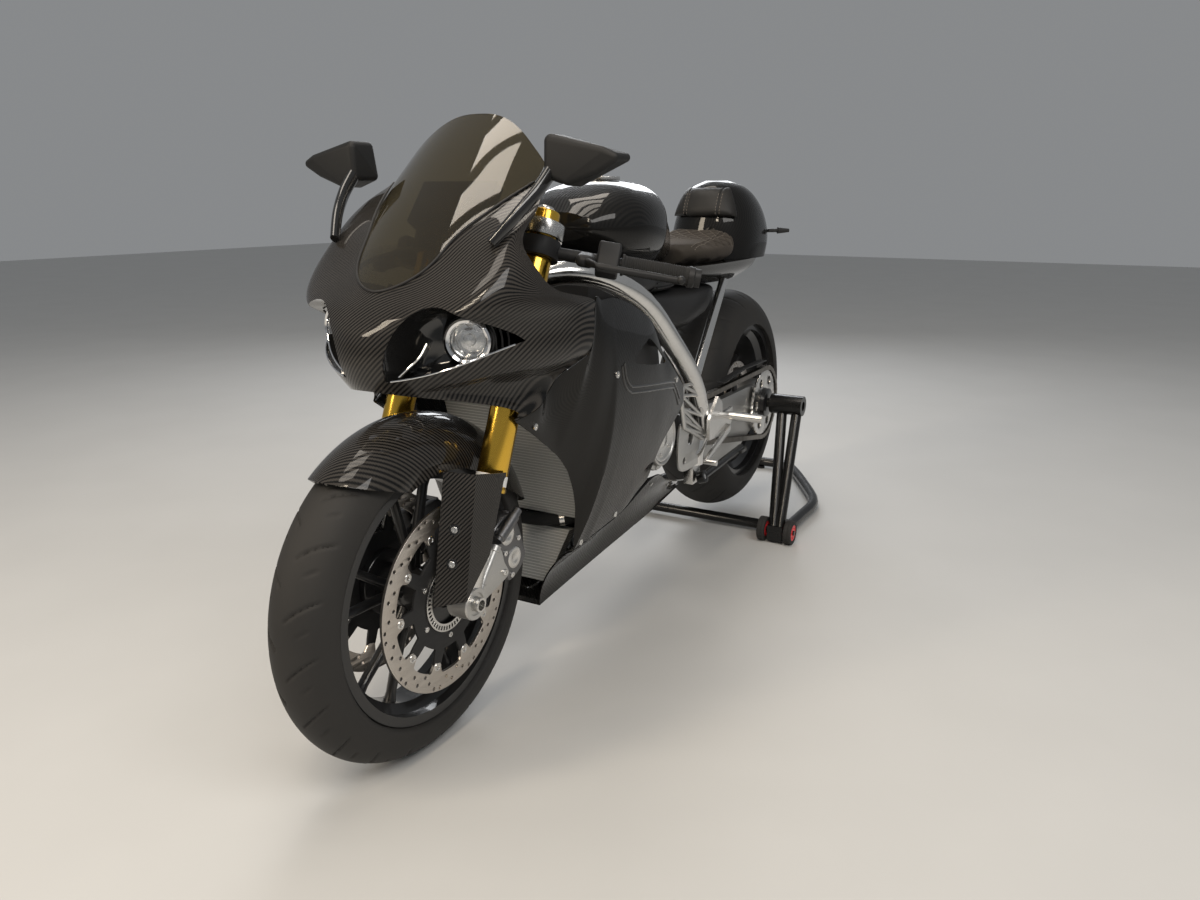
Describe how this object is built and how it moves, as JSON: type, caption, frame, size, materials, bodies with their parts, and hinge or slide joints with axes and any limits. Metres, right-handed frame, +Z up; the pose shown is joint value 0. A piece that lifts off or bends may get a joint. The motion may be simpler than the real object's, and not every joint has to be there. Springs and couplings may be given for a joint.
{
  "type": "sport motorcycle on a paddock stand",
  "caption": "Fully faired carbon-bodied sport motorcycle with upside-down fork, single-sided swingarm and rear paddock stand.",
  "frame": {"origin": "centre of the bounding box's footprint, on the floor", "axes": "+X forward along the bike, +Y to the rider's left, +Z up"},
  "size_m": [2.2953, 0.7552, 1.098],
  "materials": {
    "carbon": "clear-coated carbon weave",
    "carbon_dark": "deep gloss carbon",
    "gold": "gold anodised",
    "alloy": "satin polished",
    "polished": "polished",
    "black_metal": "satin black",
    "cast_dark": "dark cast",
    "steel": "machined",
    "tyre": "treaded rubber",
    "rubber": "matt",
    "black_plastic": "matt",
    "smoke": "smoked clear",
    "lamp": "clear lens",
    "red_lamp": "red lens",
    "suede": "brushed suede",
    "leather": "grained",
    "red": "moulded red"
  },
  "bodies": {
    "chassis": {"frame": "polished", "subframe": "polished", "engine": "cast_dark", "engine_covers": "alloy", "radiators": "alloy", "exhaust": "steel", "swingarm": "alloy", "rear_caliper": "black_metal", "chain": "steel", "chain_guard": "carbon_dark", "rearsets": "alloy", "under_tray": "black_plastic", "fairing_stay": "black_metal", "nose_cowl": "carbon", "screen": "smoke", "headlamps": "lamp", "side_panel_left": "carbon_dark", "side_panel_right": "carbon_dark", "belly_pan": "carbon_dark", "tank": "carbon_dark", "fuel_cap": "black_metal", "seat_base": "carbon", "seat_pad": "suede", "back_pad": "leather", "tail_cowl": "carbon", "tail_lamp": "red_lamp", "indicators": "black_plastic", "mirrors": "black_plastic", "dash": "black_plastic", "paddock_stand": "black_metal", "airbox": "black_plastic"},
    "steering": {"fork_tubes": "gold", "fork_lowers": "alloy", "triple_clamps": "alloy", "clip_ons": "black_metal", "grips": "rubber", "controls": "black_metal", "front_fender": "carbon", "front_calipers": "alloy", "front_axle": "steel"},
    "front_wheel": {"front_rim": "black_metal", "front_tyre": "tyre", "front_discs": "steel"},
    "rear_wheel": {"rear_rim": "black_metal", "rear_tyre": "tyre", "rear_disc": "steel", "rear_sprocket": "alloy"},
    "side_stand": {"side_stand": "black_metal"},
    "stand_wheels": {"stand_wheels": "red"}
  },
  "joints": [
    {"name": "steer", "type": "hinge", "parent": "chassis", "child": "steering", "pos_m": [0.81988, 0, 0.28828], "axis": [-0.3907, 0, 0.9205], "range_deg": [-25, 25]},
    {"name": "front_spin", "type": "hinge", "parent": "steering", "child": "front_wheel", "pos_m": [0.8475, 0, 0.3], "axis": [0, 1, 0], "continuous": true},
    {"name": "rear_spin", "type": "hinge", "parent": "chassis", "child": "rear_wheel", "pos_m": [-0.5875, 0, 0.371], "axis": [0, 1, 0], "continuous": true},
    {"name": "side_stand_swing", "type": "hinge", "parent": "chassis", "child": "side_stand", "pos_m": [0.016, 0.197, 0.308], "axis": [0, -0.9346, -0.3557], "range_deg": [0, 98]},
    {"name": "stand_wheels_spin", "type": "hinge", "parent": "chassis", "child": "stand_wheels", "pos_m": [-0.431, 0.245, 0.035], "axis": [0, 1, 0], "continuous": true}
  ]
}
